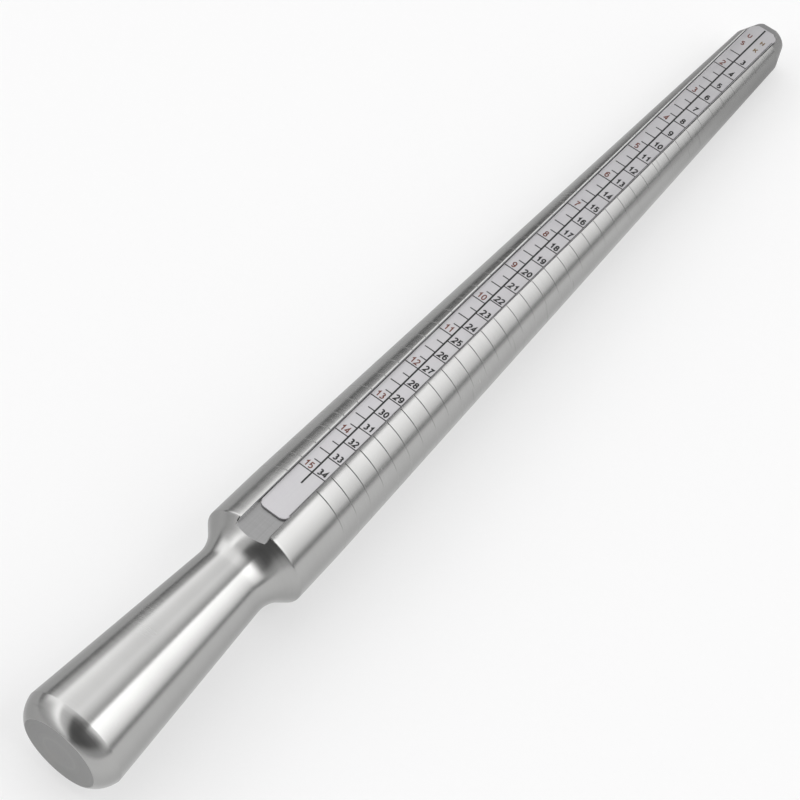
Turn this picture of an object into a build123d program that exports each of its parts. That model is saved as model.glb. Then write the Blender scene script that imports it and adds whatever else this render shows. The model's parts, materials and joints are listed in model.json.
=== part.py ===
from build123d import *
import math
import os

os.makedirs("parts", exist_ok=True)

# Ring mandrel: a one-piece turned bar (handle, shoulder and size taper) with a flat-bottomed
# slot along the taper, and a printed scale strip bonded into the slot.
# Frame, in millimetres: the bar's axis is Y, the tip points to +Y, the scale faces up (+Z),
# and the origin is the centre of the flat butt end.

# Size taper. A ring of US size n is 11.63 + 0.8128 n across inside.
taper_half_angle = 2.0
us15_radius = (11.63 + 0.8128 * 15) / 2
us15_y = 75.5

# Stations along the axis
rim_y = 4.45
shoulder_y = 57.6
lead_in_y = 71.0
tip_chamfer_y = 240.2
total_length = 245.6

# Handle and ends
butt_radius = 9.05
butt_bulge = 0.39
rim_radius = 11.95
neck_radius = 8.15
shoulder_radius = 12.3
shoulder_angle = 41.5
neck_fillet = 8.0
shoulder_fillet = 0.9
rim_fillet = 0.3
butt_edge_fillet = 0.5
tip_radius = 4.25

# Scribed circles, one for each millimetre of ring circumference, lighter towards the tip
circle_first_y = 72.1
circle_first_depth = 0.1
circle_last_depth = 0.03
circle_width_to_depth = 2.2
circle_cutter_height = 0.2

# Slot, scale strip and adhesive film
slot_width = 7.4
slot_floor_height = 9.8
slot_start_y = 46.0
slot_overrun = 5.0
slot_lip_chamfer = 0.25
strip_width = 7.0
strip_thickness = 0.5
strip_start_y = 62.7
strip_end_y = 243.7
strip_corner = 1.6
strip_edge = 0.1
film_thickness = 0.1
film_inset = 0.3

# Worked out from the driving dimensions
taper = math.tan(math.radians(taper_half_angle))
shoulder_slope = math.tan(math.radians(shoulder_angle))


def body_radius(y):
    """Radius of the size taper at a station along the axis."""
    return us15_radius - taper * (y - us15_y)


lead_in_radius = body_radius(lead_in_y)
tip_chamfer_radius = body_radius(tip_chamfer_y)
neck_y = shoulder_y - (shoulder_radius - neck_radius) / shoulder_slope
circle_pitch = 1.0 / (2 * math.pi * taper)
circle_count = int((tip_chamfer_y - circle_first_y) / circle_pitch) + 1

rounded_corners = (
    ((butt_radius, 0), butt_edge_fillet),
    ((rim_radius, rim_y), rim_fillet),
    ((neck_radius, neck_y), neck_fillet),
)

# The slot's floor and the strip lie parallel to the top line of the taper
up_slope = Vector(0, math.sin(math.radians(taper_half_angle)), math.cos(math.radians(taper_half_angle)))
floor_plane = Plane(origin=(0, us15_y, slot_floor_height), x_dir=(1, 0, 0), z_dir=up_slope)
film_top_plane = floor_plane.offset(film_thickness)
along_slot = 1 / math.cos(math.radians(taper_half_angle))
slot_start = (slot_start_y - us15_y) * along_slot
slot_end = (total_length + slot_overrun - us15_y) * along_slot
strip_start = (strip_start_y - us15_y) * along_slot
strip_end = (strip_end_y - us15_y) * along_slot
strip_middle = (strip_start + strip_end) / 2
strip_length = strip_end - strip_start

# The turned blank. Between the shoulder and the size taper is a lead-in of gentler slope.
with BuildPart() as turned_blank:
    with BuildSketch(Plane.XY) as bar_profile:
        with BuildLine():
            Line((0, 0), (butt_radius, 0))
            middle = ((butt_radius + rim_radius) / 2 + butt_bulge, rim_y / 2 - butt_bulge)
            ThreePointArc((butt_radius, 0), middle, (rim_radius, rim_y))
            Polyline(
                (rim_radius, rim_y),
                (neck_radius, neck_y),
                (shoulder_radius, shoulder_y),
                (lead_in_radius, lead_in_y),
                (tip_chamfer_radius, tip_chamfer_y),
                (tip_radius, total_length),
                (0, total_length),
                (0, 0),
            )
        make_face()
        for corner, corner_radius in rounded_corners:
            fillet(bar_profile.vertices().sort_by_distance(corner)[0], radius=corner_radius)
    revolve(axis=Axis.Y)

# Mandrel bar: the blank, slotted and scribed
with BuildPart() as mandrel_bar:
    add(turned_blank.part)

    # Slot along the taper, running out through the shoulder and the tip
    with BuildSketch(floor_plane):
        with Locations((0, (slot_start + slot_end) / 2)):
            Rectangle(slot_width, slot_end - slot_start)
    extrude(amount=2 * shoulder_radius, mode=Mode.SUBTRACT)

    # Broken edges along the slot's two lips, on the lead-in and on the taper
    wall_edges = mandrel_bar.edges().filter_by(
        lambda edge: abs(abs(edge.center().X) - slot_width / 2) < 0.001
    )
    lip_edges = wall_edges.filter_by(GeomType.HYPERBOLA).sort_by(SortBy.LENGTH)[-4:]
    chamfer(lip_edges, length=slot_lip_chamfer)

    # Rounded corner where the shoulder meets the taper
    shoulder_edge = (
        mandrel_bar.edges()
        .filter_by(GeomType.CIRCLE)
        .sort_by_distance((0, shoulder_y, -shoulder_radius))[0]
    )
    fillet(shoulder_edge, radius=shoulder_fillet)

    # Scribed circles round the taper, each a V that ends in air above the surface
    with BuildSketch(Plane.XY):
        for index in range(circle_count):
            y = circle_first_y + index * circle_pitch
            radius = body_radius(y)
            share = index / (circle_count - 1)
            depth = circle_first_depth + (circle_last_depth - circle_first_depth) * share
            cutter_half_width = (depth + circle_cutter_height) * circle_width_to_depth / 2
            with BuildLine():
                Polyline(
                    (radius + circle_cutter_height, y - cutter_half_width),
                    (radius - depth, y),
                    (radius + circle_cutter_height, y + cutter_half_width),
                    close=True,
                )
            make_face()
    revolve(axis=Axis.Y, mode=Mode.SUBTRACT)
mandrel_bar.part.label = "mandrel_bar"
export_step(mandrel_bar.part, "parts/mandrel_bar.step")

# Adhesive film between the slot's floor and the strip
with BuildPart() as adhesive_film:
    with BuildSketch(floor_plane):
        with Locations((0, strip_middle)):
            RectangleRounded(
                strip_width - 2 * film_inset,
                strip_length - 2 * film_inset,
                strip_corner - film_inset,
            )
    extrude(amount=film_thickness)
adhesive_film.part.label = "adhesive_film"
export_step(adhesive_film.part, "parts/adhesive_film.step")

# Scale strip, with a small stamped edge round its top and its tip corners dressed flush with the blank
with BuildPart() as scale_strip:
    with BuildSketch(film_top_plane):
        with Locations((0, strip_middle)):
            RectangleRounded(strip_width, strip_length, strip_corner)
    extrude(amount=strip_thickness)
    top_face = scale_strip.faces().sort_by(Axis.Z)[-1]
    chamfer(top_face.edges(), length=strip_edge)
    add(turned_blank.part, mode=Mode.INTERSECT)
scale_strip.part.label = "scale_strip"
export_step(scale_strip.part, "parts/scale_strip.step")
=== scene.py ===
"""Looks of the ring mandrel: a turned aluminium bar with a printed scale strip in its slot.

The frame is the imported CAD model: metres, the bar's axis along Y with the tip at +Y, the scale facing
up, and the origin at the centre of the butt end. Lengths below are in millimetres and are scaled by MM
where Blender needs metres.
"""

import json
import math

import bmesh
import bpy
import numpy as np
from mathutils import Matrix, Vector


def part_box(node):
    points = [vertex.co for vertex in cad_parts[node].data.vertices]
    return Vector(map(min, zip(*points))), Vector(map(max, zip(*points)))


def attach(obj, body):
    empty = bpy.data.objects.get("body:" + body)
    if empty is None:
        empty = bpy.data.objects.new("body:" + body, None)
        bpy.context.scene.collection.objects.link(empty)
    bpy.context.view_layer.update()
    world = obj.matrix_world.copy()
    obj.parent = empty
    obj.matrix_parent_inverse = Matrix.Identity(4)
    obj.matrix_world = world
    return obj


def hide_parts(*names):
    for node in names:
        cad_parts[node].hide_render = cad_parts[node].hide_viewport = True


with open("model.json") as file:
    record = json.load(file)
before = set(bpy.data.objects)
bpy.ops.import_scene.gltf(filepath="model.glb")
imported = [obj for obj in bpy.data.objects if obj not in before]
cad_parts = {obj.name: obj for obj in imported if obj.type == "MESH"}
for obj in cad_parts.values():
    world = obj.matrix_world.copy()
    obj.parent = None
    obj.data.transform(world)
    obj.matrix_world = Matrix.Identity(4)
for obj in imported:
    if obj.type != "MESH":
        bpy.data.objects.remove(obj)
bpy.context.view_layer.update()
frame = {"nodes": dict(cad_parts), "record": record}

MM = 0.001
ROOT = "root"

# ---------------------------------------------------------------------------
# Dimensions, in millimetres
# ---------------------------------------------------------------------------

bar_low, bar_high = (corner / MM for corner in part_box("mandrel_bar"))
strip_low, strip_high = (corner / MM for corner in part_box("scale_strip"))

# Ring sizes. A ring of US size n is 11.63 + 0.8128 n across inside, and the other scale has
# 2.336 lines to each US size.
TAPER = math.tan(math.radians(2.0))
US_SMALLEST, US_LARGEST = 2, 15
US_ZERO_DIAMETER, US_DIAMETER_STEP = 11.63, 0.8128
US15_RADIUS = (US_ZERO_DIAMETER + US_DIAMETER_STEP * US_LARGEST) / 2
mounts = {mount["name"]: mount for mount in frame["record"]["mounts"]}
US15_Y = mounts["ring_taper"]["pos_m"][1] / MM
US_PITCH = US_DIAMETER_STEP / (2 * TAPER)
HK_SMALLEST, HK_LARGEST = 3, 34
HK_PER_US = 2.336
HK_PITCH = US_PITCH / HK_PER_US

# Turned profile: radii and stations along the axis
TOTAL_LENGTH = bar_high.y
BUTT_RADIUS, BUTT_EDGE_FILLET, BUTT_BULGE = 9.05, 0.5, 0.39
RIM_RADIUS, RIM_Y, RIM_FILLET = 11.95, 4.45, 0.3
NECK_RADIUS, NECK_FILLET = 8.15, 8.0
SHOULDER_RADIUS, SHOULDER_Y, SHOULDER_FILLET = 12.3, 57.6, 0.9
SHOULDER_SLOPE = math.tan(math.radians(41.5))
LEAD_IN_Y = 71.0
TIP_CHAMFER_Y, TIP_RADIUS, TIP_EDGE_FILLET = 240.2, 4.25, 0.12

# Scribed circles, one for each millimetre of ring circumference, lighter towards the tip
CIRCLE_FIRST_Y = 72.1
CIRCLE_FIRST_DEPTH, CIRCLE_LAST_DEPTH = 0.1, 0.03
CIRCLE_WIDTH_TO_DEPTH = 2.2
CIRCLE_PITCH = 1 / (2 * math.pi * TAPER)

# Slot, film and strip
SLOT_HALF_WIDTH = 3.7
SLOT_FLOOR_AT_US15 = 9.8
SLOT_LIP_CHAMFER = 0.25
FILM_THICKNESS = 0.1
STRIP_THICKNESS = 0.5
STRIP_HALF_WIDTH = strip_high.x
STRIP_CORNER, STRIP_EDGE = 1.6, 0.1

# Where the scale lies: x across the bar, y along the strip from the US 15 line towards the tip, z up
# from the strip's face
across_slope = Vector((1, 0, 0))
along_slope = Vector((0, 1, -TAPER)).normalized()
up_slope = Vector((0, TAPER, 1)).normalized()
scale_axes = Matrix((across_slope, along_slope, up_slope)).transposed().to_4x4()
face_origin = Vector((0, US15_Y, SLOT_FLOOR_AT_US15)) + up_slope * (FILM_THICKNESS + STRIP_THICKNESS)
SCALE_PLACE = Matrix.Translation(face_origin) @ scale_axes

# The strip's two ends on its face. Its box reaches further at the tip, because its top leans that way.
SLOPE_LENGTH = math.hypot(1, TAPER)
STRIP_START = (strip_low.y - US15_Y) * SLOPE_LENGTH
STRIP_END = (strip_high.y - US15_Y) * SLOPE_LENGTH - STRIP_THICKNESS * TAPER


def body_radius(y):
    """Radius of the size taper at a station along the axis."""
    return US15_RADIUS - TAPER * (y - US15_Y)


def floor_height(y):
    """Height of the slot's floor above the axis."""
    return SLOT_FLOOR_AT_US15 - TAPER * (y - US15_Y)


NECK_Y = SHOULDER_Y - (SHOULDER_RADIUS - NECK_RADIUS) / SHOULDER_SLOPE
TIP_CHAMFER_RADIUS = body_radius(TIP_CHAMFER_Y)
TIP_CHAMFER_SLOPE = (TIP_CHAMFER_RADIUS - TIP_RADIUS) / (TOTAL_LENGTH - TIP_CHAMFER_Y)

# ---------------------------------------------------------------------------
# Node material helpers
# ---------------------------------------------------------------------------


NOISE_ROUGHNESS = 0.55


class Nodes:
    """A node tree with short ways to add and join nodes."""

    def __init__(self, tree):
        self.tree = tree
        tree.nodes.clear()

    def add(self, kind, settings=None, **inputs):
        """Adds a node. An input is a value or another node's output. in_0 stands for input number 0."""
        node = self.tree.nodes.new(kind)
        for name, value in (settings or {}).items():
            setattr(node, name, value)
        for name, value in inputs.items():
            key = int(name[3:]) if name.startswith("in_") else name.replace("_", " ")
            self.put(node.inputs[key], value)
        return node

    def put(self, socket, value):
        """Sets an input to a value, or joins another node's output to it."""
        if isinstance(value, bpy.types.NodeSocket):
            self.tree.links.new(value, socket)
        else:
            socket.default_value = value

    def math(self, operation, *values):
        """The result of a Math node."""
        node = self.add("ShaderNodeMath", {"operation": operation})
        for socket, value in zip(node.inputs, values):
            self.put(socket, value)
        return node.outputs[0]

    def product(self, first, *others):
        """Values multiplied together."""
        for value in others:
            first = self.math("MULTIPLY", first, value)
        return first

    def complement(self, value):
        """One less a value."""
        return self.math("SUBTRACT", 1.0, value)

    def blend(self, first, share, second):
        """A share of one value, with the rest taken from another."""
        parts = (self.product(first, share), self.product(second, 1.0 - share))
        return self.math("ADD", *parts)

    def ramp(self, value, low, high, to_low=0.0, to_high=1.0):
        """A smooth step of value from low to high, given between to_low and to_high."""
        node = self.add("ShaderNodeMapRange", {"interpolation_type": "SMOOTHSTEP"})
        for socket, number in zip(node.inputs, (value, low, high, to_low, to_high)):
            self.put(socket, number)
        return node.outputs[0]

    def stops(self, value, pairs):
        """A value turned into a level by (value, level) pairs, with straight lines between them."""
        low, high = pairs[0][0], pairs[-1][0]
        peak = max(level for _, level in pairs)
        share = self.add("ShaderNodeMapRange", in_0=value, in_1=float(low), in_2=float(high))
        ramp = self.add("ShaderNodeValToRGB", Fac=share.outputs[0])
        elements = ramp.color_ramp.elements
        while len(elements) < len(pairs):
            elements.new(0.5)
        for element, (place, level) in zip(elements, pairs):
            element.position = (place - low) / (high - low)
            element.color = grey(level / peak)
        return self.math("MULTIPLY", ramp.outputs[0], peak)

    def mix(self, factor, first, second):
        """A mix of two colours."""
        node = self.add("ShaderNodeMix", {"data_type": "RGBA"})
        self.put(node.inputs[0], factor)
        self.put(node.inputs[6], first)
        self.put(node.inputs[7], second)
        return node.outputs[2]

    def mix_values(self, factor, first, second):
        """A mix of two values."""
        node = self.add("ShaderNodeMix", {"data_type": "FLOAT"})
        self.put(node.inputs[0], factor)
        self.put(node.inputs[2], first)
        self.put(node.inputs[3], second)
        return node.outputs[0]

    def scaled(self, vector, scale):
        """A vector with each of its parts scaled."""
        node = self.add("ShaderNodeVectorMath", {"operation": "MULTIPLY"})
        self.put(node.inputs[0], vector)
        self.put(node.inputs[1], scale)
        return node.outputs[0]

    def shaded(self, colour, shade):
        """A colour made lighter or darker by a value."""
        even = self.add("ShaderNodeCombineXYZ", X=shade, Y=shade, Z=shade)
        return self.scaled(colour, even.outputs[0])

    def noise(self, vector, scale, detail):
        """Noise from 0 to 1, stretched by a scale for each axis, in features per metre."""
        node = self.add("ShaderNodeTexNoise", Vector=self.scaled(vector, scale), Scale=1.0)
        node.inputs["Detail"].default_value = detail
        node.inputs["Roughness"].default_value = NOISE_ROUGHNESS
        return node.outputs["Fac"]


def grey(value, red=1.0, green=1.0, blue=1.0):
    """A near-neutral linear colour."""
    return (value * red, value * green, value * blue, 1.0)


def aluminium(value):
    """The faintly warm grey of bare aluminium."""
    return grey(value, blue=0.985)


def new_material(name):
    """A material with a Principled shader joined to its output, and its object coordinates."""
    material = bpy.data.materials.new(name)
    material.use_nodes = True
    nodes = Nodes(material.node_tree)
    shader = nodes.add("ShaderNodeBsdfPrincipled")
    output = nodes.add("ShaderNodeOutputMaterial")
    nodes.put(output.inputs["Surface"], shader.outputs[0])
    place = nodes.add("ShaderNodeTexCoord").outputs["Object"]
    return material, nodes, shader, place


def bump(nodes, height, distance):
    """A bump normal from a height of 0 to 1, distance in metres."""
    return nodes.add("ShaderNodeBump", Height=height, Distance=distance).outputs[0]


# ---------------------------------------------------------------------------
# Materials. Noise scales are in features per metre, and bump distances in metres.
# ---------------------------------------------------------------------------

# How strongly the floor shines
FLOOR_GLOW = 0.5


def turned_aluminium():
    """Satin aluminium off the lathe: faint feed marks run round the bar. The taper's skin is painted
    darker where it is seen square on (painted shade), and all the skin is painted darker towards its
    edges as seen (painted shade for the darker reflections near the floor)."""
    material, nodes, shader, place = new_material("turned_aluminium")
    streaks = nodes.noise(place, (25, 2600, 25), detail=4.0)
    bands = nodes.noise(place, (14, 90, 14), detail=2.0)
    handling = nodes.noise(place, (90, 60, 90), detail=3.0)
    scratches = nodes.ramp(nodes.noise(place, (60, 900, 110), detail=1.0), 0.73, 0.77)
    facing = nodes.add("ShaderNodeLayerWeight", Blend=0.5).outputs["Facing"]
    along = nodes.add("ShaderNodeSeparateXYZ", Vector=place).outputs["Y"]

    on_taper = nodes.ramp(along, (SHOULDER_Y - 1) * MM, (SHOULDER_Y + 1) * MM)
    # Painted shade: the taper's colour is darker where it is seen square on, to dim its reflections
    # there.
    taper_square_on_shade = nodes.mix(nodes.ramp(facing, 0.08, 0.33), aluminium(0.335), aluminium(0.44))
    colour = nodes.mix(on_taper, aluminium(0.43), taper_square_on_shade)
    # Real feed marks and scratches, and painted shade: the colour falls towards the skin's edges as
    # seen, for the darker reflections near the floor.
    shade = nodes.product(
        nodes.ramp(nodes.blend(streaks, 0.5, bands), 0.3, 0.7, 0.97, 1.03),
        nodes.ramp(facing, 0.3, 0.7, 1.0, 0.82),
        nodes.ramp(scratches, 0.0, 1.0, 1.0, 0.9),
    )
    nodes.put(shader.inputs["Base Color"], nodes.shaded(colour, shade))
    shader.inputs["Metallic"].default_value = 1.0

    worn = nodes.ramp(handling, 0.45, 0.75, 0.0, 0.03)
    roughness = nodes.math("ADD", nodes.ramp(streaks, 0.3, 0.7, 0.22, 0.25), worn)
    nodes.put(shader.inputs["Roughness"], roughness)
    shader.inputs["Anisotropic"].default_value = 0.75
    shader.inputs["Anisotropic Rotation"].default_value = 0.25
    tangent = nodes.add("ShaderNodeTangent", {"direction_type": "RADIAL", "axis": "Y"})
    nodes.put(shader.inputs["Tangent"], tangent.outputs[0])
    feed = nodes.noise(place, (30, 5000, 30), detail=2.0)
    nodes.put(shader.inputs["Normal"], bump(nodes, feed, 0.0000004))
    return material


def milled_aluminium(name, dark, light, rough):
    """The slot's floor or walls: cutter marks along the slot, duller than the turned skin."""
    material, nodes, shader, place = new_material(name)
    along = nodes.noise(place, (3200, 45, 900), detail=3.0)
    chatter = nodes.noise(place, (160, 1900, 160), detail=2.0)
    tone = nodes.ramp(nodes.blend(along, 0.6, chatter), 0.3, 0.7)
    nodes.put(shader.inputs["Base Color"], nodes.mix(tone, grey(dark), grey(light)))
    shader.inputs["Metallic"].default_value = 1.0
    nodes.put(shader.inputs["Roughness"], nodes.ramp(tone, 0.0, 1.0, rough, rough + 0.08))
    nodes.put(shader.inputs["Normal"], bump(nodes, tone, 0.000004))
    return material


def faced_aluminium():
    """The butt and tip faces: tool rings about the axis, and a faint warm smudge, on aluminium painted
    much darker than the skin's as painted shade.
    """
    material, nodes, shader, place = new_material("faced_aluminium")
    parts = nodes.add("ShaderNodeSeparateXYZ", Vector=place)
    squares = [nodes.math("POWER", parts.outputs[axis], 2.0) for axis in "XZ"]
    radius = nodes.math("SQRT", nodes.math("ADD", *squares))
    ring_place = nodes.add("ShaderNodeCombineXYZ", X=radius).outputs[0]
    rings = nodes.noise(ring_place, (1400, 1, 1), detail=3.0)
    wide_rings = nodes.noise(ring_place, (380, 1, 1), detail=1.0)
    smudge = nodes.noise(place, (140, 140, 140), detail=2.0)

    tone = nodes.ramp(nodes.blend(rings, 0.5, wide_rings), 0.3, 0.7)
    # Painted shade: the faces' aluminium is much darker than the skin's, standing in for the dark
    # reflections on them.
    colour = nodes.mix(tone, grey(0.185, blue=0.99), grey(0.285, blue=0.99))
    colour = nodes.mix(nodes.ramp(smudge, 0.5, 0.8, 0.0, 0.4), colour, grey(0.25, red=1.06, blue=0.95))
    nodes.put(shader.inputs["Base Color"], colour)
    shader.inputs["Metallic"].default_value = 1.0
    nodes.put(shader.inputs["Roughness"], nodes.ramp(tone, 0.0, 1.0, 0.30, 0.40))
    nodes.put(shader.inputs["Normal"], bump(nodes, rings, 0.000006))
    return material


def coated_strip():
    """The strip's face: matt pale grey coating over brushed aluminium."""
    material, nodes, shader, place = new_material("coated_strip")
    brushing = nodes.noise(place, (2400, 60, 400), detail=3.0)
    mottle = nodes.noise(place, (350, 350, 350), detail=4.0)
    tone = nodes.ramp(nodes.blend(brushing, 0.4, mottle), 0.3, 0.7)
    dark, light = grey(0.50, green=0.985, blue=1.015), grey(0.54, green=0.99, blue=1.01)
    nodes.put(shader.inputs["Base Color"], nodes.mix(tone, dark, light))
    shader.inputs["Metallic"].default_value = 0.5
    nodes.put(shader.inputs["Roughness"], nodes.ramp(tone, 0.0, 1.0, 0.42, 0.52))
    nodes.put(shader.inputs["Normal"], bump(nodes, tone, 0.000003))
    return material


def printed_ink(name, thin, full):
    """Screen-printed ink, a little uneven in depth, with a soft gloss."""
    material, nodes, shader, place = new_material(name)
    coverage = nodes.noise(place, (1800, 1800, 1800), detail=3.0)
    nodes.put(shader.inputs["Base Color"], nodes.mix(nodes.ramp(coverage, 0.35, 0.65), thin, full))
    nodes.put(shader.inputs["Roughness"], nodes.ramp(coverage, 0.3, 0.7, 0.45, 0.6))
    nodes.put(shader.inputs["Normal"], bump(nodes, coverage, 0.000002))
    return material


def adhesive_tape():
    """The clear acrylic film under the strip."""
    material, nodes, shader, place = new_material("adhesive_tape")
    cloud = nodes.noise(place, (500, 200, 500), detail=3.0)
    thick, thin = (0.70, 0.68, 0.60, 1), (0.82, 0.81, 0.76, 1)
    nodes.put(shader.inputs["Base Color"], nodes.mix(cloud, thick, thin))
    nodes.put(shader.inputs["Roughness"], nodes.ramp(cloud, 0.3, 0.7, 0.25, 0.4))
    nodes.put(shader.inputs["Normal"], bump(nodes, cloud, 0.00001))
    shader.inputs["Transmission Weight"].default_value = 0.3
    return material


def light_table():
    """The floor: a plain pale diffusing sheet with a faint tooth, softly lit from below. In the bar's
    reflections its light is weaker at the left and beyond the tip."""
    material, nodes, shader, place = new_material("light_table")
    parts = nodes.add("ShaderNodeSeparateXYZ", Vector=place)
    left = nodes.ramp(parts.outputs["X"], -0.03, -0.005, 0.5, 1.0)
    beyond_tip = nodes.ramp(parts.outputs["Y"], 0.195, 0.25, 1.0, 0.3)
    reflected = nodes.add("ShaderNodeLightPath").outputs["Is Glossy Ray"]
    lost = nodes.product(reflected, nodes.complement(nodes.product(left, beyond_tip)))
    glow = nodes.product(nodes.complement(lost), FLOOR_GLOW)

    tooth = nodes.noise(place, (900, 900, 900), detail=2.0)
    nodes.put(shader.inputs["Base Color"], nodes.mix(tooth, grey(0.425), grey(0.435)))
    shader.inputs["Roughness"].default_value = 0.9
    shader.inputs["Specular IOR Level"].default_value = 0.1
    shader.inputs["Emission Color"].default_value = grey(1.0)
    nodes.put(shader.inputs["Emission Strength"], glow)
    return material


# ---------------------------------------------------------------------------
# Mesh helpers
# ---------------------------------------------------------------------------

# Points closer than this, in millimetres, become one
WELD_DISTANCE = 0.0005


def mesh_object(name, mesh, materials):
    """A finished piece of the object: its mesh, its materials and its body."""
    obj = bpy.data.objects.new(name, mesh)
    bpy.context.scene.collection.objects.link(obj)
    for material in materials:
        mesh.materials.append(material)
    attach(obj, ROOT)
    return obj


def finish_mesh(name, bm, smooth_angle=None):
    """Turns a bmesh in millimetres into a mesh in metres, with its normals facing out."""
    bmesh.ops.remove_doubles(bm, verts=bm.verts, dist=WELD_DISTANCE)
    bmesh.ops.dissolve_degenerate(bm, edges=bm.edges, dist=WELD_DISTANCE)
    bmesh.ops.recalc_face_normals(bm, faces=bm.faces)
    bmesh.ops.scale(bm, vec=(MM, MM, MM), verts=bm.verts)
    mesh = bpy.data.meshes.new(name)
    bm.to_mesh(mesh)
    bm.free()
    if smooth_angle is not None:
        mesh.shade_smooth()
        mesh.set_sharp_from_angle(angle=math.radians(smooth_angle))
    return mesh


def bridge(bm, ring, following):
    """The faces between two closed rings of points, in order round the rings."""
    count = len(ring)
    faces = []
    for i in range(count):
        j = (i + 1) % count
        faces.append(bm.faces.new((ring[i], ring[j], following[j], following[i])))
    return faces


def rounded_corner(before, corner, after, radius, steps):
    """Points of the arc that rounds a corner of an outline."""
    before, corner, after = Vector(before), Vector(corner), Vector(after)
    back, ahead = (before - corner).normalized(), (after - corner).normalized()
    half_angle = back.angle(ahead) / 2
    centre = corner + (back + ahead).normalized() * radius / math.sin(half_angle)
    start = (corner + back * radius / math.tan(half_angle) - centre).normalized()
    end = (corner + ahead * radius / math.tan(half_angle) - centre).normalized()
    return [tuple(centre + start.slerp(end, i / steps) * radius) for i in range(steps + 1)]


def crossing(function, low, high):
    """Where a function that changes sign between low and high is zero."""
    rising = function(high) > function(low)
    for _ in range(50):
        middle = (low + high) / 2
        if (function(middle) > 0) == rising:
            high = middle
        else:
            low = middle
    return (low + high) / 2


# ---------------------------------------------------------------------------
# The bar
# ---------------------------------------------------------------------------


def bulged_butt_chamfer(steps=14):
    """The slightly convex chamfer from the butt face to the rim, as (radius, y) points."""
    start, end = Vector((BUTT_RADIUS, 0)), Vector((RIM_RADIUS, RIM_Y))
    bulge = Vector((BUTT_BULGE, -BUTT_BULGE))
    points = []
    for i in range(steps + 1):
        share = i / steps
        points.append(tuple(start.lerp(end, share) + bulge * 4 * share * (1 - share)))
    return points


def scribed_circles():
    """The scribed circles as (y, depth)."""
    count = int((TIP_CHAMFER_Y - CIRCLE_FIRST_Y) / CIRCLE_PITCH) + 1
    depths = np.linspace(CIRCLE_FIRST_DEPTH, CIRCLE_LAST_DEPTH, count)
    return [(CIRCLE_FIRST_Y + i * CIRCLE_PITCH, float(depth)) for i, depth in enumerate(depths)]


def turned_profile():
    """The bar's outline from the butt face to the tip face, as (radius, y) points."""
    chamfer = bulged_butt_chamfer()
    neck = (NECK_RADIUS, NECK_Y)
    shoulder = (SHOULDER_RADIUS, SHOULDER_Y)
    lead_in = (body_radius(LEAD_IN_Y), LEAD_IN_Y)
    tip_chamfer = (TIP_CHAMFER_RADIUS, TIP_CHAMFER_Y)
    tip = (TIP_RADIUS, TOTAL_LENGTH)
    points = rounded_corner((0, 0), chamfer[0], chamfer[1], BUTT_EDGE_FILLET, steps=6)
    points += chamfer[1:-1]
    points += rounded_corner(chamfer[-2], chamfer[-1], neck, RIM_FILLET, steps=5)
    points += rounded_corner(chamfer[-1], neck, shoulder, NECK_FILLET, steps=14)
    points += rounded_corner(neck, shoulder, lead_in, SHOULDER_FILLET, steps=10)
    points.append(lead_in)
    for y, depth in scribed_circles():
        half_width = depth * CIRCLE_WIDTH_TO_DEPTH / 2
        points.append((body_radius(y - half_width), y - half_width))
        points.append((body_radius(y) - depth, y))
        points.append((body_radius(y + half_width), y + half_width))
    points += rounded_corner(lead_in, tip_chamfer, tip, TIP_EDGE_FILLET, steps=4)
    points += rounded_corner(tip_chamfer, tip, (0, TOTAL_LENGTH), TIP_EDGE_FILLET, steps=4)
    return points


# Cross-sections added between the points of the profile
RUN_OUT_STEPS = 14
SHOULDER_SECTIONS, TIP_SECTIONS = 10, 12
HANDLE_SPACING, TAPER_SPACING = 2.0, 1.5


def stations():
    """The bar's cross-sections as (radius, y), closer together where the slot runs out."""
    profile = turned_profile()
    radii, ys = zip(*profile)

    def floor_above_skin(y):
        return floor_height(y) - float(np.interp(y, ys, radii))

    def lip_above_floor(y):
        radius = float(np.interp(y, ys, radii))
        return math.sqrt(radius**2 - SLOT_HALF_WIDTH**2) - floor_height(y)

    slot_apex = crossing(floor_above_skin, NECK_Y, SHOULDER_Y)
    slot_wall = crossing(lip_above_floor, slot_apex, SHOULDER_Y)
    tip_wall = crossing(lip_above_floor, TIP_CHAMFER_Y + 0.5, TOTAL_LENGTH)
    extra = []
    for i in range(RUN_OUT_STEPS + 1):
        extra.append(slot_apex + (slot_wall - slot_apex) * (i / RUN_OUT_STEPS) ** 2)
    extra += list(np.linspace(slot_wall, SHOULDER_Y - 0.6, SHOULDER_SECTIONS))
    extra.append(tip_wall)
    extra += list(np.linspace(TIP_CHAMFER_Y + 0.3, TOTAL_LENGTH - 0.3, TIP_SECTIONS))
    extra += list(np.arange(RIM_Y + 2, NECK_Y - 4, HANDLE_SPACING))
    extra += list(np.arange(SHOULDER_Y + 2, TIP_CHAMFER_Y - 1, TAPER_SPACING))
    added = [(float(np.interp(y, ys, radii)), y) for y in extra]
    return sorted(profile + added, key=lambda point: point[1])


# Points round each cross-section, and rings across each end face as shares of its outline
OUTER_POINTS = 216
WALL_POINTS = 3
FLOOR_POINTS = 14
END_FACE_SHARES = (0.92, 0.7, 0.45, 0.2)
SKIN, SLOT_FLOOR, SLOT_WALL, FACED = range(4)


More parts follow.
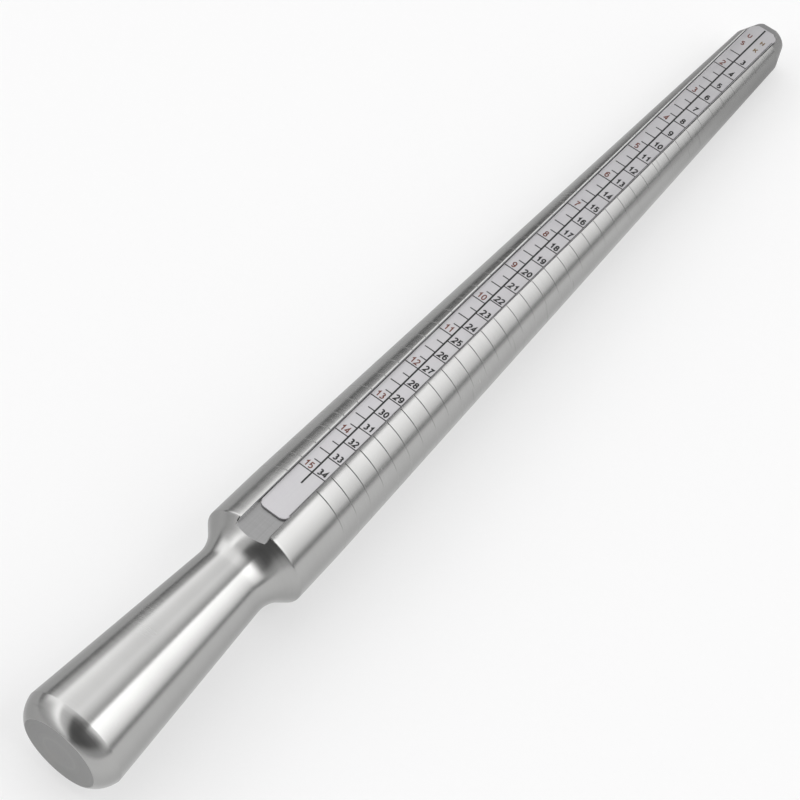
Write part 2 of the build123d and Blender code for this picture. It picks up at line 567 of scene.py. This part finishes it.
def section(radius, y):
    """One cross-section of the bar as (x, z) points: round the outside from lip to lip, down the
    left wall, across the floor and up the right wall. Where the slot has run out, its points fall
    together."""
    floor = min(floor_height(y), radius)
    edge = min(SLOT_HALF_WIDTH, math.sqrt(max(radius**2 - floor**2, 0)))
    lip = math.sqrt(radius**2 - edge**2)
    chamfer = min(SLOT_LIP_CHAMFER, (lip - floor) / 2)
    lip_angle = math.asin(edge / radius) + chamfer / radius
    points = []
    for angle in np.linspace(lip_angle, 2 * math.pi - lip_angle, OUTER_POINTS):
        points.append((radius * math.sin(angle), radius * math.cos(angle)))
    wall = np.linspace(lip - chamfer, floor, WALL_POINTS)
    points += [(-edge, z) for z in wall]
    points += [(x, floor) for x in np.linspace(-edge, edge, FLOOR_POINTS + 2)[1:-1]]
    points += [(edge, z) for z in wall[::-1]]
    return points


def close_end(bm, ring, y):
    """A flat end face, in rings that shrink to a point on the axis."""
    inner = ring
    for share in END_FACE_SHARES:
        smaller = [bm.verts.new((v.co.x * share, y, v.co.z * share)) for v in ring]
        for face in bridge(bm, inner, smaller):
            face.material_index = FACED
        inner = smaller
    centre = bm.verts.new((0, y, 0))
    for i, vertex in enumerate(inner):
        following = inner[(i + 1) % len(inner)]
        bm.faces.new((vertex, following, centre)).material_index = FACED


def build_bar():
    """The bar's mesh, from its cross-sections and the two end faces."""
    bm = bmesh.new()
    rings = []
    for radius, y in stations():
        rings.append([bm.verts.new((x, y, z)) for x, z in section(radius, y)])
    last_point = len(rings[0]) - 1
    materials = []
    for i in range(last_point + 1):
        if OUTER_POINTS + WALL_POINTS - 1 <= i <= last_point - WALL_POINTS:
            materials.append(SLOT_FLOOR)
        elif OUTER_POINTS <= i < last_point:
            materials.append(SLOT_WALL)
        else:
            materials.append(SKIN)
    for ring, following in zip(rings, rings[1:]):
        for face, material in zip(bridge(bm, ring, following), materials):
            face.material_index = material
    close_end(bm, rings[0], 0.0)
    close_end(bm, rings[-1], TOTAL_LENGTH)
    return finish_mesh("mandrel_bar_turned", bm, smooth_angle=28)


# ---------------------------------------------------------------------------
# Strip and print
# ---------------------------------------------------------------------------

# Steps round each of the strip's corners, and over its edge
STRIP_CORNER_STEPS, STRIP_EDGE_STEPS = 16, 4


def behind_tip_chamfer(x, y, z):
    """A point of the strip, in scale coordinates, moved back onto the tip chamfer where it stands proud
    of it."""
    place = SCALE_PLACE @ Vector((x, y, z))
    radius = math.hypot(place.x, place.z)
    proud = radius - (TIP_CHAMFER_RADIUS - TIP_CHAMFER_SLOPE * (place.y - TIP_CHAMFER_Y))
    closing = TIP_CHAMFER_SLOPE - TAPER * place.z / radius
    return (x, y - max(0.0, proud / closing), z)


def strip_outline(inset):
    """The strip's rounded outline, moved in by inset, as (x, y) points on its face."""
    half, radius = STRIP_HALF_WIDTH - inset, STRIP_CORNER - inset
    low, high = STRIP_START + inset, STRIP_END - inset
    corners = [(half, low), (half, high), (-half, high), (-half, low)]
    points = []
    for i, corner in enumerate(corners):
        before, after = corners[i - 1], corners[(i + 1) % len(corners)]
        points += rounded_corner(before, corner, after, radius, STRIP_CORNER_STEPS)
    return points


def build_strip():
    """The strip: a flat plate with rounded corners and a soft stamped edge."""
    bm = bmesh.new()
    levels = [(0.0, -STRIP_THICKNESS)]
    for step in range(STRIP_EDGE_STEPS + 1):
        angle = step / STRIP_EDGE_STEPS * math.pi / 2
        levels.append((STRIP_EDGE * (1 - math.cos(angle)), STRIP_EDGE * (math.sin(angle) - 1)))
    rings = []
    for inset, z in levels:
        rings.append([bm.verts.new(behind_tip_chamfer(x, y, z)) for x, y in strip_outline(inset)])
    for ring, following in zip(rings, rings[1:]):
        bridge(bm, ring, following)
    bm.faces.new(rings[0])
    bm.faces.new(rings[-1])
    bmesh.ops.transform(bm, matrix=SCALE_PLACE, verts=bm.verts)
    return finish_mesh("scale_strip_plate", bm, smooth_angle=40)


# The print stands a little proud of the strip's face
PRINT_BOTTOM, PRINT_TOP = -0.01, 0.015

# Rules and ticks, and a black line along the strip's right edge that is painted shadow of the gap
# beside the strip. A half or quarter tick is a share of a whole one.
CENTRE_LINE, EDGE_SHADOW_LINE, TICK_LINE = 0.40, 0.14, 0.26
BORDER_X = STRIP_HALF_WIDTH - STRIP_EDGE
COLUMN_X = (CENTRE_LINE / 2 + BORDER_X) / 2
CENTRE_START, CENTRE_END = -3.5, STRIP_END - 0.4
EDGE_SHADOW_START, EDGE_SHADOW_END = STRIP_START + STRIP_CORNER, STRIP_END - STRIP_CORNER - 1.0
HALF_TICK, QUARTER_TICK = 0.8, 0.5
SMALLEST_TICK_SIZE = 1.5

# Characters. The widths are for centre lines one unit high.
DIGIT_WIDTH, LETTER_WIDTH = 0.54, 0.62
DIGIT_HEIGHT, DIGIT_ADVANCE, DIGIT_AFTER_LINE = 1.7, 1.15, 1.22
LETTER_HEIGHT = 1.4
BLACK_STROKE, RED_STROKE, LETTER_STROKE = 0.36, 0.29, 0.28
SHARPEST_MITRE = 0.35
LEFT_INK, RIGHT_INK = 0, 1

# The header letters that name the two scales, each with its side and its distance along the strip
LETTERS = {"U": (-1, 164.0), "S": (-1, 160.95), "H": (1, 163.9), "K": (1, 160.9)}


def arc(x, y, width, height, start, end, steps=14):
    """Points round part of an ellipse, with its angles in degrees."""
    angles = [math.radians(start + (end - start) * i / steps) for i in range(steps + 1)]
    return [(x + width / 2 * math.cos(a), y + height / 2 * math.sin(a)) for a in angles]


def glyph_strokes(character):
    """The centre lines of a plain upright character, each a list of (x, y) points."""
    w, v = DIGIT_WIDTH, LETTER_WIDTH
    loop_up = arc(w / 2, 0.31, w, 0.62, 0, 360)
    hook = arc(w / 2, 0.55, w, 0.9, 35, 190)
    strokes = {
        "0": [arc(w / 2, 0.5, w, 1.0, 0, 360)],
        "1": [[(0.12 * w, 0.74), (0.66 * w, 1.0), (0.66 * w, 0.0)]],
        "2": [arc(w / 2, 0.73, w, 0.54, 165, -35) + [(0.0, 0.0), (w, 0.0)]],
        "3": [
            arc(0.46 * w, 0.77, 0.84 * w, 0.46, 145, -90)
            + arc(0.46 * w, 0.27, w, 0.54, 90, -145),
        ],
        "4": [[(0.76 * w, 0.0), (0.76 * w, 1.0), (0.0, 0.28), (1.1 * w, 0.28)]],
        "5": [
            [(0.94 * w, 1.0), (0.18 * w, 1.0), (0.1 * w, 0.52)]
            + arc(0.46 * w, 0.3, w, 0.6, 120, -135),
        ],
        "6": [loop_up, hook],
        "7": [[(0.0, 1.0), (w, 1.0), (0.52 * w, 0.5), (0.32 * w, 0.0)]],
        "8": [arc(w / 2, 0.77, 0.84 * w, 0.46, -90, 270), arc(w / 2, 0.27, w, 0.54, 90, 450)],
        "9": [[(w - x, 1 - y) for x, y in stroke] for stroke in (loop_up, hook)],
        "U": [[(0.0, 1.0)] + arc(v / 2, 0.3, v, 0.6, 180, 360) + [(v, 1.0)]],
        "S": [arc(v / 2, 0.76, 0.9 * v, 0.48, 35, 270) + arc(v / 2, 0.26, v, 0.52, 90, -145)],
        "H": [[(0.0, 0.0), (0.0, 1.0)], [(v, 0.0), (v, 1.0)], [(0.0, 0.5), (v, 0.5)]],
        "K": [
            [(0.0, 0.0), (0.0, 1.0)],
            [(v, 1.0), (0.0, 0.36)],
            [(0.34 * v, 0.58), (1.05 * v, 0.0)],
        ],
    }
    return strokes[character]


def print_band(bm, left, right, closed=False):
    """A flat printed band between two rows of points, standing on the strip's face."""
    edges = (
        (left, PRINT_TOP),
        (right, PRINT_TOP),
        (right, PRINT_BOTTOM),
        (left, PRINT_BOTTOM),
    )
    rows = [[bm.verts.new((point[0], point[1], z)) for point in points] for points, z in edges]
    count = len(left)
    for i in range(count if closed else count - 1):
        j = (i + 1) % count
        for row, beside in zip(rows, rows[1:] + rows[:1]):
            bm.faces.new((row[i], row[j], beside[j], beside[i]))
    if not closed:
        bm.faces.new([row[0] for row in rows])
        bm.faces.new([row[-1] for row in rows])


def print_bar(bm, x_low, x_high, y_low, y_high):
    """A printed bar."""
    print_band(bm, [(x_low, y_low), (x_low, y_high)], [(x_high, y_low), (x_high, y_high)])


def print_stroke(bm, points, width):
    """A printed ribbon along a line, with mitred joints and square ends."""
    points = [Vector(p) for p in points]
    closed = (points[0] - points[-1]).length < 1e-6
    if closed:
        points = points[:-1]
    count = len(points)
    left, right = [], []
    for i, point in enumerate(points):
        before = points[i - 1] if closed or i > 0 else point
        after = points[(i + 1) % count] if closed or i < count - 1 else point
        into = (point - before).normalized() if before is not point else (after - point).normalized()
        out = (after - point).normalized() if after is not point else into
        across = (into + out).normalized().orthogonal()
        reach = width / 2 / max(SHARPEST_MITRE, across.dot(into.orthogonal()))
        left.append(point - across * reach)
        right.append(point + across * reach)
    print_band(bm, left, right, closed)


def print_text(bm, text, x, y, height, stroke):
    """Printed characters centred at x, y, upright when the tip is up. The height takes in the
    strokes."""
    scale = height - stroke
    for i, character in enumerate(text):
        width = DIGIT_WIDTH if character.isdigit() else LETTER_WIDTH
        left = x + (i - (len(text) - 1) / 2) * DIGIT_ADVANCE - width * scale / 2
        for points in glyph_strokes(character):
            print_stroke(bm, [(left + px * scale, y + (py - 0.5) * scale) for px, py in points], stroke)


def us_line(size):
    """Distance of a US size's line from the US 15 line."""
    return (US_LARGEST - size) * US_PITCH


def hk_line(size):
    """Distance of the other scale's line from the same line."""
    return (HK_LARGEST - size) * HK_PITCH


def build_black_print():
    """The rules, ticks and right-hand numerals, and a black line along the strip's right edge: painted
    shadow of the gap beside the strip.
    """
    bm = bmesh.new()
    inner = CENTRE_LINE / 2
    print_bar(bm, -inner, inner, CENTRE_START, CENTRE_END)
    # Painted shadow: a black line along the strip's right edge, where the gap beside the strip is in
    # shade.
    print_bar(bm, BORDER_X - EDGE_SHADOW_LINE, BORDER_X, EDGE_SHADOW_START, EDGE_SHADOW_END)
    quarters = int((US_LARGEST - SMALLEST_TICK_SIZE) * 4)
    for quarter in range(quarters + 1):
        share = {0: 1.0, 2: HALF_TICK}.get(quarter % 4, QUARTER_TICK)
        outer = inner + (BORDER_X - inner) * share
        y = us_line(US_LARGEST - quarter / 4)
        print_bar(bm, -outer, -inner, y - TICK_LINE / 2, y + TICK_LINE / 2)
    for size in range(HK_SMALLEST, HK_LARGEST + 1):
        y = hk_line(size)
        print_bar(bm, inner, BORDER_X, y - TICK_LINE / 2, y + TICK_LINE / 2)
        print_text(bm, str(size), COLUMN_X, y + DIGIT_AFTER_LINE, DIGIT_HEIGHT, BLACK_STROKE)
    bmesh.ops.transform(bm, matrix=SCALE_PLACE, verts=bm.verts)
    return finish_mesh("scale_print_black", bm)


def build_red_print():
    """The left-hand numerals and the header letters."""
    bm = bmesh.new()
    for size in range(US_SMALLEST, US_LARGEST + 1):
        y = us_line(size) + DIGIT_AFTER_LINE
        print_text(bm, str(size), -COLUMN_X, y, DIGIT_HEIGHT, RED_STROKE)
    for letter, (side, y) in LETTERS.items():
        first_face = len(bm.faces)
        print_text(bm, letter, side * COLUMN_X, y, LETTER_HEIGHT, LETTER_STROKE)
        bm.faces.ensure_lookup_table()
        for face in bm.faces[first_face:]:
            face.material_index = RIGHT_INK if side > 0 else LEFT_INK
    bmesh.ops.transform(bm, matrix=SCALE_PLACE, verts=bm.verts)
    return finish_mesh("scale_print_red", bm)


# ---------------------------------------------------------------------------
# The pieces of the object
# ---------------------------------------------------------------------------

# In the order of SKIN, SLOT_FLOOR, SLOT_WALL and FACED
bar_materials = [
    turned_aluminium(),
    # The slot's floor is a darker copy of the milled aluminium, painted shade in the recess, and its
    # walls a lighter copy, a painted highlight.
    milled_aluminium("slot_floor_aluminium_painted_shade", 0.25, 0.29, 0.34),
    milled_aluminium("slot_wall_aluminium_painted_highlight", 0.62, 0.70, 0.55),
    faced_aluminium(),
]
bar = mesh_object("mandrel_bar_turned", build_bar(), bar_materials)
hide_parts("mandrel_bar")

strip = mesh_object("scale_strip_plate", build_strip(), [coated_strip()])
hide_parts("scale_strip")

# The second ink of the coloured print is for the letters over the right-hand scale
black_ink = printed_ink("black_ink", grey(0.016), grey(0.006))
red_ink = printed_ink("red_ink", (0.15, 0.045, 0.028, 1), (0.115, 0.032, 0.02, 1))
olive_ink = printed_ink("olive_ink", (0.19, 0.13, 0.055, 1), (0.15, 0.09, 0.035, 1))
mesh_object("scale_print_black", build_black_print(), [black_ink])
mesh_object("scale_print_red", build_red_print(), [red_ink, olive_ink])

film = frame["nodes"]["adhesive_film"]
film.data.materials.clear()
film.data.materials.append(adhesive_tape())

# ---------------------------------------------------------------------------
# Floor, light and camera
# ---------------------------------------------------------------------------

# How far the floor reaches: to the left, beyond the butt, and to the right and beyond the tip
FLOOR_LEFT, FLOOR_BUTT, FLOOR_FAR = -260, -200, 4000


def build_floor():
    """A pale sheet under the bar, touching it at the shoulder and at the tip chamfer."""
    mesh = bpy.data.meshes.new("floor")
    tilt = (SHOULDER_RADIUS - TIP_CHAMFER_RADIUS) / (TIP_CHAMFER_Y - SHOULDER_Y)
    outline = (
        (FLOOR_LEFT, FLOOR_BUTT),
        (FLOOR_FAR, FLOOR_BUTT),
        (FLOOR_FAR, FLOOR_FAR),
        (FLOOR_LEFT, FLOOR_FAR),
    )
    corners = []
    for x, y in outline:
        corners.append((x * MM, y * MM, (tilt * (y - SHOULDER_Y) - SHOULDER_RADIUS) * MM))
    mesh.from_pydata(corners, [], [(0, 1, 2, 3)])
    floor = bpy.data.objects.new("floor", mesh)
    bpy.context.scene.collection.objects.link(floor)
    mesh.materials.append(light_table())


# Lights round the bar's axis, as (turn from straight up towards +X in degrees, level).
# On the tip side: a dark gap at the left, a panel, the ceiling, a softbox that is brightest at its edge,
# and a dark gap below it.
TIP_SIDE_LIGHTS = (
    (-97, 0.3),
    (-90, 0.25),
    (-84, 0.5),
    (-72, 1.65),
    (-56, 2.0),
    (-36, 1.6),
    (-20, 1.55),
    (-8, 1.75),
    (4, 1.4),
    (17, 0.75),
    (24.5, 0.75),
    (25.5, 3.4),
    (34, 2.9),
    (44, 2.7),
    (60, 2.05),
    (74, 1.4),
    (82, 0.5),
    (88, 0.22),
    (95, 0.22),
)

# On the butt side: a wall at the left with a lamp on it, and an open dark corner at the right
BUTT_SIDE_LIGHTS = (
    (-90, 0.55),
    (-68, 0.8),
    (-58, 1.2),
    (-46, 2.1),
    (-40, 2.2),
    (-36, 0.95),
    (-18, 0.8),
    (-11, 0.55),
    (-7, 0.1),
    (62, 0.1),
    (72, 0.35),
    (83, 0.55),
)

# How much of the light the dark card takes away
CARD_DARKNESS = 0.85
LIGHT_COLOUR = grey(1.0, green=0.997)
BACKDROP_COLOUR = grey(0.96)


def build_studio_light():
    """Soft light from all round, fixed to the bar, in front of a plain pale backdrop."""
    world = bpy.data.worlds.new("studio")
    bpy.context.scene.world = world
    world.use_nodes = True
    nodes = Nodes(world.node_tree)
    direction = nodes.add("ShaderNodeTexCoord").outputs["Generated"]
    parts = nodes.add("ShaderNodeSeparateXYZ", Vector=direction)
    x, y, z = parts.outputs
    turn = nodes.math("DEGREES", nodes.math("ARCTAN2", x, z))

    # The panels fade towards the tip, and a dark card stands low at their left
    fade = nodes.ramp(y, 0.46, 0.72, 1.0, 0.36)
    card = nodes.product(nodes.ramp(turn, -70, -58, 1.0, 0.0), nodes.ramp(y, 0.36, 0.44))
    carded = nodes.complement(nodes.product(card, CARD_DARKNESS))
    tip_side = nodes.product(nodes.stops(turn, TIP_SIDE_LIGHTS), fade, carded)
    butt_side = nodes.stops(turn, BUTT_SIDE_LIGHTS)
    near_butt = nodes.ramp(y, -0.25, -0.05, 1.0, 0.0)
    level = nodes.mix_values(near_butt, tip_side, butt_side)

    # The camera sees the backdrop, and everything else the lights
    lights = nodes.add("ShaderNodeBackground", Color=LIGHT_COLOUR, Strength=level)
    backdrop = nodes.add("ShaderNodeBackground", Color=BACKDROP_COLOUR, Strength=1.0)
    seen = nodes.add("ShaderNodeLightPath").outputs["Is Camera Ray"]
    shown = nodes.add(
        "ShaderNodeMixShader", in_0=seen, in_1=lights.outputs[0], in_2=backdrop.outputs[0]
    )
    nodes.add("ShaderNodeOutputWorld", Surface=shown.outputs[0])


# Where the camera stands: angles in degrees, and the point that it looks at
CAMERA_AZIMUTH, CAMERA_ELEVATION, CAMERA_ROLL = 33.33, 55.33, -6.17
CAMERA_TARGET = (-1.49, 107.05, 0)
CAMERA_DISTANCE = 538.5
CAMERA_LENS, CAMERA_SENSOR = 114.6, 36.0


def build_camera():
    """The camera looks down on the bar from beyond the butt, on the right, rolled a little."""
    azimuth = math.radians(CAMERA_AZIMUTH)
    elevation = math.radians(CAMERA_ELEVATION)
    roll = math.radians(CAMERA_ROLL)
    target = Vector(CAMERA_TARGET) * MM
    distance = CAMERA_DISTANCE * MM
    back = Vector(
        (
            math.sin(azimuth) * math.cos(elevation),
            -math.cos(azimuth) * math.cos(elevation),
            math.sin(elevation),
        )
    )
    level = (-back).cross(Vector((0, 0, 1))).normalized()
    level_up = level.cross(-back)
    up = level_up * math.cos(roll) + level * math.sin(roll)
    right = level * math.cos(roll) - level_up * math.sin(roll)
    data = bpy.data.cameras.new("camera")
    data.lens = CAMERA_LENS
    data.sensor_width = CAMERA_SENSOR
    data.clip_start = 0.01
    camera = bpy.data.objects.new("camera", data)
    bpy.context.scene.collection.objects.link(camera)
    turned = Matrix((right, up, back)).transposed().to_4x4()
    camera.matrix_world = Matrix.Translation(target + back * distance) @ turned
    bpy.context.scene.camera = camera


build_floor()
build_studio_light()
build_camera()
bpy.context.scene.view_settings.view_transform = "Standard"
